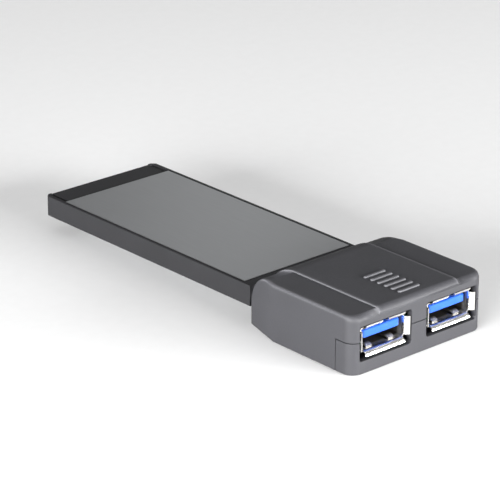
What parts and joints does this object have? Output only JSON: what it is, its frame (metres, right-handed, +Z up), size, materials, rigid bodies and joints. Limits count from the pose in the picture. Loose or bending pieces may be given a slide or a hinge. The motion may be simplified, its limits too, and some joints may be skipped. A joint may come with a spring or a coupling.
{
  "type": "card slot usb hub",
  "caption": "Stub housing with side-by-side Type-A sockets in its front and a flat card behind it that slides into a laptop's card slot.",
  "frame": {"origin": "on the plane of the housing's underside, below the middle of the whole object's box", "axes": "+Z up; +Y from the socket face towards the card's nose, the way the card slides into the slot; +X to the right for someone who faces the sockets"},
  "size_m": [0.04, 0.111, 0.0146],
  "materials": {
    "housing_abs": "dark grey moulded ABS with a fine spark-eroded texture",
    "card_abs": "black moulded ABS, fine matt",
    "socket_nickel": "bright nickel-plated stamped steel",
    "socket_blue": "blue moulded thermoplastic, satin",
    "contact_gold": "gold-flashed copper alloy strip",
    "card_steel": "thin rolled stainless sheet, satin",
    "board_mask": "green solder mask on glass-epoxy board",
    "chip_epoxy": "black moulded epoxy",
    "can_aluminium": "bright drawn aluminium can",
    "fuse_green": "green resettable fuse laminate",
    "tantalum_yellow": "yellow moulded capacitor case",
    "ferrite_grey": "dark grey pressed ferrite",
    "screw_steel": "black-oxide steel screw"
  },
  "bodies": {
    "root": {"upper_shell": "housing_abs", "lower_shell": "housing_abs", "case_screw_left": "screw_steel", "case_screw_right": "screw_steel", "main_board": "board_mask", "host_controller": "chip_epoxy", "controller_crystal": "can_aluminium", "firmware_chip": "chip_epoxy", "core_regulator": "chip_epoxy", "core_capacitor": "tantalum_yellow", "power_inductor": "ferrite_grey", "card_frame": "card_abs", "card_top_cover": "card_steel", "card_bottom_cover": "card_steel", "card_connector": "card_abs", "usb_shell_left": "socket_nickel", "usb_insulator_left": "socket_blue", "usb_contact_left_1": "contact_gold", "usb_contact_left_2": "contact_gold", "usb_contact_left_3": "contact_gold", "usb_contact_left_4": "contact_gold", "fast_contact_left_1": "contact_gold", "fast_contact_left_2": "contact_gold", "fast_contact_left_3": "contact_gold", "fast_contact_left_4": "contact_gold", "fast_contact_left_5": "contact_gold", "power_switch_left": "chip_epoxy", "port_fuse_left": "fuse_green", "surge_array_left": "chip_epoxy", "line_choke_left": "ferrite_grey", "bulk_capacitor_left": "can_aluminium", "usb_shell_right": "socket_nickel", "usb_insulator_right": "socket_blue", "usb_contact_right_1": "contact_gold", "usb_contact_right_2": "contact_gold", "usb_contact_right_3": "contact_gold", "usb_contact_right_4": "contact_gold", "fast_contact_right_1": "contact_gold", "fast_contact_right_2": "contact_gold", "fast_contact_right_3": "contact_gold", "fast_contact_right_4": "contact_gold", "fast_contact_right_5": "contact_gold", "power_switch_right": "chip_epoxy", "port_fuse_right": "fuse_green", "surge_array_right": "chip_epoxy", "line_choke_right": "ferrite_grey", "bulk_capacitor_right": "can_aluminium"}
  },
  "joints": []
}
